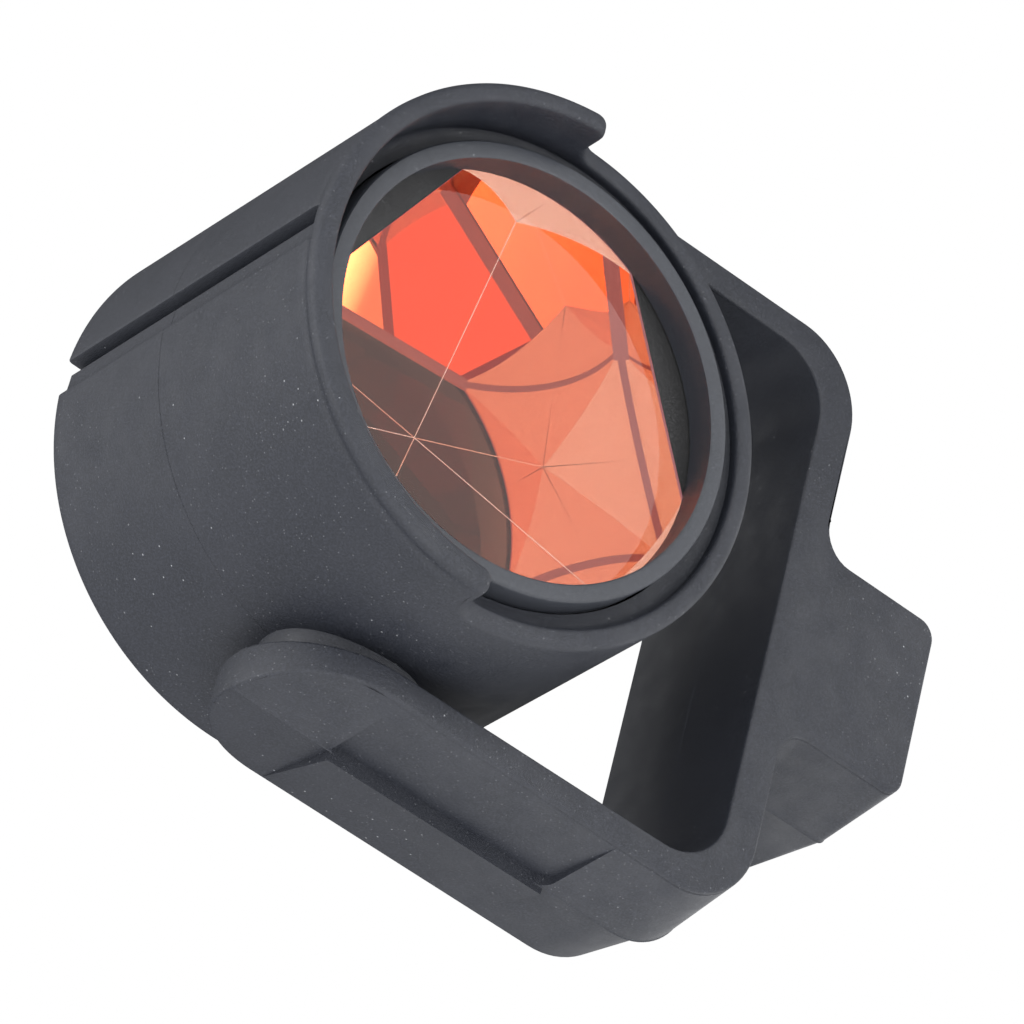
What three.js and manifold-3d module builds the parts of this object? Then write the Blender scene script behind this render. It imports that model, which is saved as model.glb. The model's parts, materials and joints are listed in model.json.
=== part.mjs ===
// Surveying prism: a round corner-cube prism in its canister, held by a hooded barrel that
// tilts between the arms of a one-piece yoke, which clicks onto a 12 mm spigot.
// Millimetres. +X is the tilt axis, -Y the side the glass faces, +Z up.
// The origin is the centre of the base's seat, on the spigot's axis.
import * as THREE from 'three';
import { mergeVertices } from 'three/addons/utils/BufferGeometryUtils.js';
import Module from 'manifold-3d';

const wasm = await Module();
wasm.setup();

// ---- driving dimensions ----
const TILT_AXIS_HEIGHT = 86;        // seat to tilt axis
const REST_TILT = 4.2;              // degrees the glass looks up at rest
const GAP = 0.3;                    // clearance between neighbouring pieces
const ROUND = 72;                   // facets of the large circles
const SMALL_ROUND = 28;             // facets of pins and screws

// prism glass: apex behind the front face, circular aperture
const GLASS_FACE_Y = -24.6;
const GLASS_RADIUS = 31.4;
const APEX_DEPTH = 38.6;
const COATING = 0.4;
const EDGE_AZIMUTH = 90;            // turns one corner-cube edge to +X

// canister
const CANISTER_RADIUS = 33;
const CANISTER_FRONT_Y = -25.9;
const CANISTER_REAR_Y = 19;
const CANISTER_BORE = 31.8;
const CANISTER_REAR_BORE = 26;
const CUSHION_FRONT_Y = -4;
const CUSHION_REAR_Y = 8.7;
const FLANGE_RADIUS = 35.9;
const FLANGE_Y = 10.6;
const FLANGE_THICKNESS = 2.8;
const RING_FRONT_Y = -30.7;
const RING_FRONT_BORE = 30.4;
const APERTURE = 31;
const COVER_THICKNESS = 2.6;
const COVER_SCREW_CIRCLE = 29.5;
const COVER_SCREW_HEAD = 1.9;
const COVER_SCREW_SHANK = 1;
const COVER_SCREW_LENGTH = 6.5;
const SCREW_SLOT_HALF = 0.3;

// holder barrel
const BARREL_RADIUS = 39.4;         // at the rear
const BARREL_FRONT_RADIUS = 38.9;
const BARREL_BORE = 36.3;
const HOOD_Y = -37.2;
const RIM_Y = -29.2;
const BARREL_REAR_Y = 26.1;
const WEB_FRONT_Y = 6.5;
const WEB_REAR_Y = 9;
const WEB_BORE = CANISTER_RADIUS + 0.4;
const LIP_HEIGHT = 0.25;            // bead round the front edge
const LIP_WIDTH = 2.6;
const EDGE_ROUND = 0.9;             // rounded outer edges of the barrel
const HOOD_FILLET = 2.5;
const SLOT_DEPTH = 2.2;             // sight groove
const LEDGE_DEPTH = 0.9;
const PAD_RADIUS = 12.5;            // trunnion pads of the barrel
const PAD_X = 40.9;

// trunnions
const PIN_RADIUS = 4;
const PIN_HEAD_RADIUS = 6;
const PIN_HEAD_X = 33.7;
const PIN_HEAD_THICKNESS = 1.5;
const PIN_END_X = 46.3;
const PAD_ROOT_X = 33;              // the pads start inside the barrel's wall
const WASHER_RADIUS = 14.6;
const WASHER_X = 41.2;
const WASHER_THICKNESS = 0.8;
const BUSHING_RADIUS = 6;
const BUSHING_X = 42.6;
const SOCKET_END_X = 46.9;

// yoke: the outline in the front plane, at the parting plane and in the rear plane
const YOKE_HALF_DEPTH = 15.4;
const FRONT_OUTLINE = { outer: 46.9, inner: 42.6, top: -57.3, bottom: -62.7, base: 14.6, seat: -84.9 };
const FRONT_PARTING = { outer: 49.2, inner: 42.3, top: -57, bottom: -64.7, base: 16.2, seat: -85.4 };
const REAR_PARTING = { outer: 49.2, inner: 42.3, top: -57, bottom: -64.7, base: 16.5, seat: -85.4 };
const REAR_OUTLINE = { outer: 48.2, inner: 42.6, top: -57.5, bottom: -63.7, base: 16.4, seat: -85 };
const OUTER_CORNER = 12.5;
const INNER_CORNER = 9;
const BASE_FILLET = 4.5;
const BASE_CORNER = 2;
const ARM_TOP = 18;
const BELOW_BASE = -90;             // where tools that open the base start
const YOKE_REACH = 60;              // beyond both arms
const INSIDE_ARM_X = 40;            // between the barrel's pad and the arm
const PANEL_TOP = -1.5;             // sawtooth panels on the outside of the arms
const PANEL_BOTTOM = -40.5;
const PANEL_RECESS = 1.2;
const PANEL_RISE = 0.9;

// base: spigot sleeve, latch and cover plate
const SPIGOT_BORE = 6.05;
const SLEEVE_RADIUS = 8;
const SLEEVE_TOP = -62.5;
const PLATE_HALF = 12.5;
const PLATE_THICKNESS = 1.4;
const PLATE_HOLE = 6.5;
const PLATE_SCREW = 9.6;
const PLATE_SCREW_HEAD = 2;
const PLATE_SCREW_LENGTH = 5;
const PLATE_SCREW_SINK = 0.15;
const SCREW_SHANK = 1.1;
const LATCH_Z = -78;
const LATCH_THICKNESS = 3;
const LATCH_HALF = 10.8;
const LATCH_FRONT_Y = -10.6;
const LATCH_REAR_Y = 12.1;
const CAVITY_REAR_Y = 12.8;
const SPRING_ROOM = 1;              // left in front of the pressed latch
const LATCH_TRAVEL = 2.5;
const LATCH_EYE = 8.5;
const TONGUE_HALF = 2.4;
const TONGUE_TIP_Y = -4.5;
const BUTTON_HALF = 7;
const BUTTON_HEIGHT = 7;
const BUTTON_ROOT_Y = 11.7;
const BUTTON_END_Y = 18.4;
const SPRING_THICKNESS = 0.4;

// ---- helpers ----
const radians = THREE.MathUtils.degToRad;
const point = (x, y) => new THREE.Vector2(x, y);

function signedVolume(positions, index) {
  const a = new THREE.Vector3();
  const b = new THREE.Vector3();
  const c = new THREE.Vector3();
  let sum = 0;
  for (let i = 0; i < index.length; i += 3) {
    a.fromBufferAttribute(positions, index[i]);
    b.fromBufferAttribute(positions, index[i + 1]);
    c.fromBufferAttribute(positions, index[i + 2]);
    sum += a.dot(b.cross(c));
  }
  return sum;
}

// A closed three.js geometry as a manifold solid, its faces pointing out.
function solid(geometry) {
  const bare = geometry.clone();
  bare.deleteAttribute('normal');
  bare.deleteAttribute('uv');
  const merged = mergeVertices(bare, 1e-4);
  const index = Uint32Array.from(merged.index.array);
  if (signedVolume(merged.attributes.position, index) < 0) index.reverse();
  const vertProperties = Float32Array.from(merged.attributes.position.array);
  return new wasm.Manifold(new wasm.Mesh({ numProp: 3, vertProperties, triVerts: index }));
}

function geometryOf(manifold) {
  const mesh = manifold.getMesh();
  const geometry = new THREE.BufferGeometry();
  geometry.setAttribute('position', new THREE.BufferAttribute(mesh.vertProperties, 3));
  geometry.setIndex(new THREE.BufferAttribute(mesh.triVerts, 1));
  geometry.computeVertexNormals();
  return geometry;
}

const union = (...solids) => solids.reduce((whole, next) => whole.add(next));
const cut = (body, ...tools) => tools.reduce((rest, tool) => rest.subtract(tool), body);

function box([x0, y0, z0], [x1, y1, z1]) {
  const geometry = new THREE.BoxGeometry(x1 - x0, y1 - y0, z1 - z0);
  geometry.translate((x0 + x1) / 2, (y0 + y1) / 2, (z0 + z1) / 2);
  return solid(geometry);
}

// Turned about Y: the profile is a closed loop of [radius, y].
function turned(profile, facets = ROUND) {
  const loop = [...profile, profile[0]].map(([r, y]) => point(r, y));
  return solid(new THREE.LatheGeometry(loop, facets));
}

// A round bar along one axis, from one end to the other.
function bar(axis, radius, from, to, facets = SMALL_ROUND) {
  const geometry = new THREE.CylinderGeometry(radius, radius, Math.abs(to - from), facets);
  if (axis === 'x') geometry.rotateZ(-Math.PI / 2);
  if (axis === 'z') geometry.rotateX(Math.PI / 2);
  const middle = (from + to) / 2;
  geometry.translate(axis === 'x' ? middle : 0, axis === 'y' ? middle : 0, axis === 'z' ? middle : 0);
  return solid(geometry);
}

// A shape drawn in (y, z), extruded along X from one end to the other.
function extrudedAlongX(shape, from, to, curveSegments = 8) {
  const geometry = new THREE.ExtrudeGeometry(shape, {
    depth: to - from, bevelEnabled: false, steps: 1, curveSegments,
  });
  const turn = new THREE.Matrix4().makeBasis(
    new THREE.Vector3(0, 1, 0), new THREE.Vector3(0, 0, 1), new THREE.Vector3(1, 0, 0));
  geometry.applyMatrix4(turn);
  geometry.translate(from, 0, 0);
  return solid(geometry);
}

// A shape drawn in (x, y), extruded along Z from one end to the other.
function extrudedAlongZ(shape, from, to, curveSegments = 12) {
  const geometry = new THREE.ExtrudeGeometry(shape, {
    depth: to - from, bevelEnabled: false, steps: 1, curveSegments,
  });
  geometry.translate(0, 0, from);
  return solid(geometry);
}

function polygon(points) {
  return new THREE.Shape(points.map(([x, y]) => point(x, y)));
}

// Points of an arc round (cx, cz), in degrees.
function arc(cx, cz, radius, start, end, steps) {
  return Array.from({ length: steps + 1 }, (_, i) => {
    const angle = radians(start + ((end - start) * i) / steps);
    return [cx + radius * Math.cos(angle), cz + radius * Math.sin(angle)];
  });
}

// Joins equal-length outlines of [x, z] at two Y stations into one drafted solid.
function drafted(outlineA, yA, outlineB, yB) {
  const count = outlineA.length;
  const positions = [];
  for (const [x, z] of outlineA) positions.push(x, yA, z);
  for (const [x, z] of outlineB) positions.push(x, yB, z);
  const index = [];
  for (let i = 0; i < count; i += 1) {
    const j = (i + 1) % count;
    index.push(i, count + j, j, i, count + i, count + j);
  }
  const contour = outlineA.map(([x, z]) => point(x, z));
  for (const [a, b, c] of THREE.ShapeUtils.triangulateShape(contour, [])) {
    index.push(a, b, c);
    index.push(count + c, count + b, count + a);
  }
  const geometry = new THREE.BufferGeometry();
  geometry.setAttribute('position', new THREE.Float32BufferAttribute(positions, 3));
  geometry.setIndex(index);
  return solid(geometry);
}

// ---- the yoke ----
// Half of the outline, from the inside of the bar's middle round the arm to the seat's middle.
function halfOutline({ outer, inner, top, bottom, base, seat }) {
  return [
    [0, top],
    ...arc(inner - INNER_CORNER, top + INNER_CORNER, INNER_CORNER, -90, 0, 6),
    [inner, ARM_TOP],
    [outer, ARM_TOP],
    ...arc(outer - OUTER_CORNER, bottom + OUTER_CORNER, OUTER_CORNER, 0, -90, 8),
    ...arc(base + BASE_FILLET, bottom - BASE_FILLET, BASE_FILLET, 90, 180, 4),
    ...arc(base - BASE_CORNER, seat + BASE_CORNER, BASE_CORNER, 0, -90, 4),
  ];
}

function yokeOutline(size) {
  const right = halfOutline(size);
  const left = right.slice(1).map(([x, z]) => [-x, z]);
  return [...left, ...right.reverse()];
}

// Side view of the yoke: its arms end in half circles about the tilt axis.
function sideProfile() {
  const shape = new THREE.Shape();
  shape.moveTo(YOKE_HALF_DEPTH, BELOW_BASE);
  shape.lineTo(YOKE_HALF_DEPTH, 0);
  shape.absarc(0, 0, YOKE_HALF_DEPTH, 0, Math.PI, false);
  shape.lineTo(-YOKE_HALF_DEPTH, BELOW_BASE);
  return extrudedAlongX(shape, -YOKE_REACH, YOKE_REACH, 18);
}

// Sawtooth panel of one arm: the front half falls away towards the parting plane,
// and the rear half stands proud of it.
function panelTools(side) {
  const front = FRONT_OUTLINE.outer;
  const middle = FRONT_PARTING.outer;
  const recess = polygon([
    [side * (front + 0.3), -YOKE_HALF_DEPTH],
    [side * (middle - PANEL_RECESS), 0],
    [side * (middle + 2), 0],
    [side * (front + 2), -YOKE_HALF_DEPTH],
  ]);
  const rise = polygon([
    [side * (middle - 2), 0],
    [side * (middle + PANEL_RISE), 0],
    [side * REAR_OUTLINE.outer, YOKE_HALF_DEPTH],
    [side * (REAR_OUTLINE.outer - 2), YOKE_HALF_DEPTH],
  ]);
  return {
    recess: extrudedAlongZ(recess, PANEL_BOTTOM, PANEL_TOP),
    rise: extrudedAlongZ(rise, PANEL_BOTTOM, PANEL_TOP),
  };
}

function latchCavity() {
  const clear = GAP;
  const half = LATCH_THICKNESS / 2 + clear;
  const plate = box(
    [-LATCH_HALF - clear, LATCH_FRONT_Y - LATCH_TRAVEL - SPRING_ROOM, LATCH_Z - half],
    [LATCH_HALF + clear, CAVITY_REAR_Y, LATCH_Z + half]);
  const mouth = box(
    [-BUTTON_HALF - clear, BUTTON_ROOT_Y - LATCH_TRAVEL - clear, LATCH_Z - BUTTON_HEIGHT / 2 - clear],
    [BUTTON_HALF + clear, YOKE_HALF_DEPTH + 2, LATCH_Z + BUTTON_HEIGHT / 2 + clear]);
  return union(plate, mouth);
}

function yokeFrame() {
  const front = drafted(
    yokeOutline(FRONT_OUTLINE), -YOKE_HALF_DEPTH, yokeOutline(FRONT_PARTING), 0);
  const rear = drafted(
    yokeOutline(REAR_PARTING), 0, yokeOutline(REAR_OUTLINE), YOKE_HALF_DEPTH);
  let body = union(front, rear);
  for (const side of [-1, 1]) {
    const { recess, rise } = panelTools(side);
    body = cut(body, recess);
    body = union(body, rise);
  }
  body = body.intersect(sideProfile());
  const socket = BUSHING_RADIUS + GAP;
  const pocket = PLATE_HALF + GAP;
  const plateTop = -TILT_AXIS_HEIGHT + PLATE_THICKNESS + GAP;
  const screwTop = -TILT_AXIS_HEIGHT + PLATE_SCREW_SINK + PLATE_SCREW_LENGTH;
  body = cut(
    body,
    bar('x', socket, -SOCKET_END_X, -INSIDE_ARM_X),
    bar('x', socket, INSIDE_ARM_X, SOCKET_END_X),
    bar('z', SLEEVE_RADIUS + GAP, BELOW_BASE, SLEEVE_TOP + GAP, 40),
    box([-pocket, -pocket, BELOW_BASE], [pocket, pocket, plateTop]),
    latchCavity());
  for (const [x, y] of plateScrewPlaces()) {
    body = cut(body, bar('z', SCREW_SHANK + GAP, BELOW_BASE, screwTop + GAP, 16).translate(x, y, 0));
  }
  return body;
}

// ---- base pieces ----
function plateScrewPlaces() {
  const places = [];
  for (const x of [-PLATE_SCREW, PLATE_SCREW]) {
    for (const y of [-PLATE_SCREW, PLATE_SCREW]) places.push([x, y]);
  }
  return places;
}

function spigotSleeve() {
  const low = -TILT_AXIS_HEIGHT + PLATE_THICKNESS + GAP;
  const window = LATCH_THICKNESS / 2 + GAP;
  return cut(
    bar('z', SLEEVE_RADIUS, low, SLEEVE_TOP, 40),
    bar('z', SPIGOT_BORE, low - 1, SLEEVE_TOP - 2, 40),
    box([-TONGUE_HALF - GAP, -12, LATCH_Z - window], [TONGUE_HALF + GAP, 0, LATCH_Z + window]));
}

function latchSlide() {
  const shape = new THREE.Shape();
  shape.moveTo(-LATCH_HALF, LATCH_FRONT_Y);
  shape.lineTo(LATCH_HALF, LATCH_FRONT_Y);
  shape.lineTo(LATCH_HALF, LATCH_REAR_Y);
  shape.lineTo(-LATCH_HALF, LATCH_REAR_Y);
  // the eye clears the sleeve through the whole travel, and the tongue enters its window
  const eye = new THREE.Path();
  const rearCentre = LATCH_TRAVEL + 0.2;
  eye.moveTo(LATCH_EYE, 0);
  eye.lineTo(LATCH_EYE, rearCentre);
  eye.absarc(0, rearCentre, LATCH_EYE, 0, Math.PI, false);
  eye.lineTo(-LATCH_EYE, 0);
  eye.absarc(0, 0, LATCH_EYE, Math.PI, 1.5 * Math.PI - 0.3, false);
  eye.lineTo(-TONGUE_HALF, TONGUE_TIP_Y);
  eye.lineTo(TONGUE_HALF, TONGUE_TIP_Y);
  eye.absarc(0, 0, LATCH_EYE, 1.5 * Math.PI + 0.3, 2 * Math.PI, false);
  shape.holes.push(eye);
  const half = LATCH_THICKNESS / 2;
  const plate = extrudedAlongZ(shape, LATCH_Z - half, LATCH_Z + half);
  const button = box(
    [-BUTTON_HALF, BUTTON_ROOT_Y, LATCH_Z - BUTTON_HEIGHT / 2],
    [BUTTON_HALF, BUTTON_END_Y, LATCH_Z + BUTTON_HEIGHT / 2]);
  return union(plate, button);
}

// A bowed leaf between the cavity's front wall and the latch plate.
function latchSpring() {
  const back = LATCH_FRONT_Y - GAP;
  const bow = 2.6;
  const span = 8;
  const curve = (t, offset) => [span * t, back - SPRING_THICKNESS - bow * (1 - t * t) + offset];
  const steps = Array.from({ length: 13 }, (_, i) => -1 + i / 6);
  const outline = [
    ...steps.map((t) => curve(t, 0)),
    ...steps.map((t) => curve(-t, SPRING_THICKNESS)),
  ];
  return extrudedAlongZ(polygon(outline), LATCH_Z - 1.2, LATCH_Z + 1.2);
}

function basePlate() {
  const shape = new THREE.Shape();
  const corner = 1.5;
  const half = PLATE_HALF;
  shape.moveTo(half, -half + corner);
  shape.absarc(half - corner, half - corner, corner, 0, Math.PI / 2, false);
  shape.absarc(-half + corner, half - corner, corner, Math.PI / 2, Math.PI, false);
  shape.absarc(-half + corner, -half + corner, corner, Math.PI, 1.5 * Math.PI, false);
  shape.absarc(half - corner, -half + corner, corner, 1.5 * Math.PI, 2 * Math.PI, false);
  const hole = new THREE.Path();
  hole.absarc(0, 0, PLATE_HOLE, 0, 2 * Math.PI, false);
  shape.holes.push(hole);
  for (const [x, y] of plateScrewPlaces()) {
    const bore = new THREE.Path();
    bore.absarc(x, y, PLATE_SCREW_HEAD + GAP, 0, 2 * Math.PI, false);
    shape.holes.push(bore);
  }
  return extrudedAlongZ(shape, -TILT_AXIS_HEIGHT, -TILT_AXIS_HEIGHT + PLATE_THICKNESS, 10);
}

function plateScrew([x, y]) {
  const low = -TILT_AXIS_HEIGHT + PLATE_SCREW_SINK;
  const head = bar('z', PLATE_SCREW_HEAD, low, low + 1.2, 20);
  const shank = bar('z', SCREW_SHANK, low, low + PLATE_SCREW_LENGTH, 16);
  const slot = box([-2.5, -SCREW_SLOT_HALF, low - 1], [2.5, SCREW_SLOT_HALF, low + 0.5]);
  return cut(union(head, shank), slot).translate(x, y, 0);
}

// ---- trunnions, on one side or the other ----
const mirroredX = (body, side) => (side > 0 ? body : body.mirror([1, 0, 0]));

function trunnionPin(side) {
  const headEnd = PIN_HEAD_X + PIN_HEAD_THICKNESS;
  const pin = union(
    bar('x', PIN_HEAD_RADIUS, PIN_HEAD_X, headEnd),
    bar('x', PIN_RADIUS, PIN_HEAD_X, PIN_END_X));
  return mirroredX(pin, side);
}

function washer(side) {
  const end = WASHER_X + WASHER_THICKNESS;
  const ring = cut(
    bar('x', WASHER_RADIUS, WASHER_X, end, 48),
    bar('x', PIN_RADIUS + GAP, WASHER_X - 1, end + 1));
  return mirroredX(ring, side);
}

function bushing(side) {
  const end = SOCKET_END_X - GAP;
  const ring = cut(
    bar('x', BUSHING_RADIUS, BUSHING_X, end),
    bar('x', PIN_RADIUS + GAP, BUSHING_X - 1, end + 1));
  return mirroredX(ring, side);
}

// ---- the holder barrel ----
// What the front edge loses below the hood, seen from the side: (y, z).
function hoodCut() {
  const shape = new THREE.Shape();
  const f = HOOD_FILLET;
  shape.moveTo(-45, f);
  shape.lineTo(HOOD_Y, f);
  shape.absarc(HOOD_Y + f, f, f, Math.PI, 1.5 * Math.PI, false);
  shape.lineTo(RIM_Y - f, 0);
  shape.absarc(RIM_Y - f, -f, f, 0.5 * Math.PI, 0, true);
  shape.lineTo(RIM_Y, -45);
  shape.lineTo(-45, -45);
  return extrudedAlongX(shape, -45, 45, 5);
}

// Sight groove on top: a slot beside a shallow ledge, seen from the front: (x, z).
function sightGroove() {
  const top = BARREL_RADIUS + 2;
  const slot = BARREL_RADIUS - SLOT_DEPTH;
  const ledge = BARREL_RADIUS - LEDGE_DEPTH;
  const length = 80;
  const points = [
    [2.3, top], [2.3, slot], [0.6, slot], [0.6, ledge], [-2, ledge], [-3.5, BARREL_RADIUS], [-3.5, top],
  ];
  const geometry = new THREE.ExtrudeGeometry(polygon(points), { depth: length, bevelEnabled: false });
  geometry.rotateX(Math.PI / 2);
  geometry.translate(0, HOOD_Y + LIP_WIDTH + length, 0);
  return solid(geometry);
}

function holderBarrel() {
  const edge = EDGE_ROUND;
  const lip = BARREL_FRONT_RADIUS + LIP_HEIGHT;
  const tube = turned([
    [BARREL_BORE, HOOD_Y + 0.5],
    [BARREL_BORE + 0.4, HOOD_Y + 0.1],
    [lip - edge, HOOD_Y],
    [lip - edge * 0.3, HOOD_Y + edge * 0.3],
    [lip, HOOD_Y + edge],
    [lip, HOOD_Y + LIP_WIDTH - 0.4],
    [BARREL_FRONT_RADIUS, HOOD_Y + LIP_WIDTH],
    [BARREL_RADIUS, BARREL_REAR_Y - edge],
    [BARREL_RADIUS - edge * 0.3, BARREL_REAR_Y - edge * 0.3],
    [BARREL_RADIUS - edge, BARREL_REAR_Y],
    [BARREL_BORE, BARREL_REAR_Y],
    [BARREL_BORE, WEB_REAR_Y],
    [WEB_BORE, WEB_REAR_Y],
    [WEB_BORE, WEB_FRONT_Y],
    [BARREL_BORE, WEB_FRONT_Y],
  ]);
  const inside = bar('y', BARREL_BORE, -45, WEB_FRONT_Y, ROUND);
  const pads = [-1, 1].map((side) => mirroredX(bar('x', PAD_RADIUS, PAD_ROOT_X, PAD_X, 48), side));
  const holes = [-1, 1].map((side) => mirroredX(bar('x', PIN_RADIUS + GAP, 30, PAD_X + 1), side));
  const solidBarrel = union(tube, ...pads);
  const body = cut(solidBarrel, inside, bar('y', WEB_BORE, 0, 20, ROUND), hoodCut(), sightGroove());
  return cut(body, bar('y', BARREL_BORE, WEB_REAR_Y, 40, ROUND), ...holes);
}

// ---- the canister and its contents ----
function cubeCorner(offset) {
  const height = 70;
  const geometry = new THREE.ConeGeometry(height * Math.SQRT2, height, 3);
  geometry.rotateY(radians(EDGE_AZIMUTH));
  const apex = GLASS_FACE_Y + APEX_DEPTH + offset * Math.sqrt(3);
  geometry.translate(0, apex - height / 2, 0);
  return solid(geometry);
}

function prismGlass() {
  return bar('y', GLASS_RADIUS, GLASS_FACE_Y, 40, ROUND).intersect(cubeCorner(0));
}

function prismCoating() {
  const outside = cubeCorner(GAP + COATING);
  const shell = bar('y', GLASS_RADIUS, GLASS_FACE_Y + 1, 40, ROUND).intersect(outside);
  return cut(shell, cubeCorner(GAP));
}

function rearCushion() {
  const ring = bar('y', CANISTER_BORE - GAP, CUSHION_FRONT_Y, CUSHION_REAR_Y, ROUND);
  return cut(ring, cubeCorner(2 * GAP + COATING));
}

function canisterBody() {
  const flangeEnd = FLANGE_Y + FLANGE_THICKNESS;
  const body = turned([
    [CANISTER_BORE, CANISTER_FRONT_Y],
    [CANISTER_RADIUS, CANISTER_FRONT_Y],
    [CANISTER_RADIUS, FLANGE_Y],
    [FLANGE_RADIUS, FLANGE_Y],
    [FLANGE_RADIUS, flangeEnd],
    [CANISTER_RADIUS, flangeEnd],
    [CANISTER_RADIUS, CANISTER_REAR_Y],
    [CANISTER_REAR_BORE, CANISTER_REAR_Y],
    [CANISTER_REAR_BORE, 12],
    [CANISTER_BORE, 9],
  ]);
  const bore = COVER_SCREW_SHANK + GAP;
  const bores = coverScrewPlaces().map(([x, z]) => bar('y', bore, 14, 25, 16).translate(x, 0, z));
  return cut(body, ...bores);
}

function frontRing() {
  return turned([
    [RING_FRONT_BORE, RING_FRONT_Y + 0.3],
    [RING_FRONT_BORE + 0.3, RING_FRONT_Y],
    [CANISTER_RADIUS - 0.5, RING_FRONT_Y],
    [CANISTER_RADIUS, RING_FRONT_Y + 0.5],
    [CANISTER_RADIUS, CANISTER_FRONT_Y - GAP],
    [CANISTER_BORE - GAP, CANISTER_FRONT_Y - GAP],
    [CANISTER_BORE - GAP, CANISTER_FRONT_Y + 0.3],
    [APERTURE, CANISTER_FRONT_Y + 0.3],
  ]);
}

function frontGasket() {
  const front = CANISTER_FRONT_Y + 0.3 + GAP;
  const rear = GLASS_FACE_Y - GAP;
  return ringOf(APERTURE, CANISTER_BORE - GAP, front, rear);
}

function ringOf(inner, outer, from, to) {
  return turned([[inner, from], [outer, from], [outer, to], [inner, to]]);
}

function lockRing() {
  const from = FLANGE_Y + FLANGE_THICKNESS + GAP;
  const to = from + 4.5;
  const ring = ringOf(CANISTER_RADIUS + 0.4, FLANGE_RADIUS, from, to);
  const slots = [-1, 1].map((side) => mirroredX(box([33, to - 1.8, -1.5], [37, to + 1, 1.5]), side));
  return cut(ring, ...slots);
}

function coverScrewPlaces() {
  return [90, 210, 330].map((azimuth) => {
    const angle = radians(azimuth);
    return [COVER_SCREW_CIRCLE * Math.cos(angle), COVER_SCREW_CIRCLE * Math.sin(angle)];
  });
}

function backCover() {
  const from = CANISTER_REAR_Y + GAP;
  const to = from + COVER_THICKNESS;
  const disc = turned([
    [0, from], [CANISTER_RADIUS, from], [CANISTER_RADIUS, to - 0.8],
    [CANISTER_RADIUS - 0.8, to], [22, to], [20.5, to - 1], [0, to - 1],
  ]);
  const seats = coverScrewPlaces().map(([x, z]) => union(
    bar('y', COVER_SCREW_SHANK + GAP, from - 1, to + 1, 16),
    bar('y', COVER_SCREW_HEAD + GAP, to - 1.2, to + 1, 20),
  ).translate(x, 0, z));
  return cut(disc, ...seats);
}

function coverScrew([x, z]) {
  const top = CANISTER_REAR_Y + GAP + COVER_THICKNESS;
  const head = bar('y', COVER_SCREW_HEAD, top - 0.9, top + 0.1, 20);
  const shank = bar('y', COVER_SCREW_SHANK, top - COVER_SCREW_LENGTH, top, 16);
  const slot = box([-2.5, top - 0.4, -SCREW_SLOT_HALF], [2.5, top + 1, SCREW_SLOT_HALF]);
  return cut(union(head, shank), slot).translate(x, 0, z);
}

// ---- assembly ----
const BLACK_POLYMER = { color: 0x3c3d40, roughness: 0.62, metalness: 0 };
const BLACK_METAL = { color: 0x35373b, roughness: 0.45, metalness: 0.1 };
const GLASS = { color: 0xf4f6f5, roughness: 0.02, metalness: 0, transparent: true, opacity: 0.4 };
const COPPER = { color: 0xd9683f, roughness: 0.15, metalness: 1 };
const RUBBER = { color: 0x1b1b1c, roughness: 0.9, metalness: 0 };
const STEEL = { color: 0xa9acae, roughness: 0.3, metalness: 1 };
const BRASS = { color: 0xb58d4a, roughness: 0.35, metalness: 1 };
const ACETAL = { color: 0xd8d6cf, roughness: 0.5, metalness: 0 };
const GREY_POLYMER = { color: 0x2b2c2e, roughness: 0.5, metalness: 0 };

function piece(name, body, finish) {
  const mesh = new THREE.Mesh(geometryOf(body), new THREE.MeshStandardMaterial(finish));
  mesh.name = name;
  return mesh;
}

const fixed = new THREE.Group();
fixed.add(
  piece('yoke_frame', yokeFrame(), BLACK_POLYMER),
  piece('bushing_left', bushing(-1), ACETAL),
  piece('bushing_right', bushing(1), ACETAL),
  piece('spigot_sleeve', spigotSleeve(), BRASS),
  piece('latch_slide', latchSlide(), GREY_POLYMER),
  piece('latch_spring', latchSpring(), STEEL),
  piece('base_plate', basePlate(), BLACK_METAL),
);
plateScrewPlaces().forEach((place, i) => {
  fixed.add(piece(`base_plate_screw_${i + 1}`, plateScrew(place), STEEL));
});

const tilting = new THREE.Group();
tilting.rotation.x = radians(-REST_TILT);
tilting.add(
  piece('holder_barrel', holderBarrel(), BLACK_POLYMER),
  piece('canister_body', canisterBody(), BLACK_METAL),
  piece('front_ring', frontRing(), BLACK_METAL),
  piece('front_gasket', frontGasket(), RUBBER),
  piece('prism_glass', prismGlass(), GLASS),
  piece('prism_coating', prismCoating(), COPPER),
  piece('rear_cushion', rearCushion(), RUBBER),
  piece('canister_damper', ringOf(CANISTER_RADIUS + 0.4, FLANGE_RADIUS, 9.3, FLANGE_Y - GAP), RUBBER),
  piece('lock_ring', lockRing(), BLACK_METAL),
  piece('back_cover', backCover(), BLACK_METAL),
  piece('trunnion_pin_left', trunnionPin(-1), STEEL),
  piece('trunnion_pin_right', trunnionPin(1), STEEL),
  piece('friction_washer_left', washer(-1), RUBBER),
  piece('friction_washer_right', washer(1), RUBBER),
);
coverScrewPlaces().forEach((place, i) => {
  tilting.add(piece(`back_cover_screw_${i + 1}`, coverScrew(place), STEEL));
});

const group = new THREE.Group();
fixed.position.z = TILT_AXIS_HEIGHT;
tilting.position.z = TILT_AXIS_HEIGHT;
group.add(fixed, tilting);

export default group;
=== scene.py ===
"""Looks of the survey prism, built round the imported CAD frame. The pieces are measured in
millimetres until they become mesh vertices, and the stage, lights, camera and textures in
metres. The row frame has +X along the tilt axis and +Z up."""

import json
import math

import bmesh
import bpy
import numpy as np
from mathutils import Matrix, Vector

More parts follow.
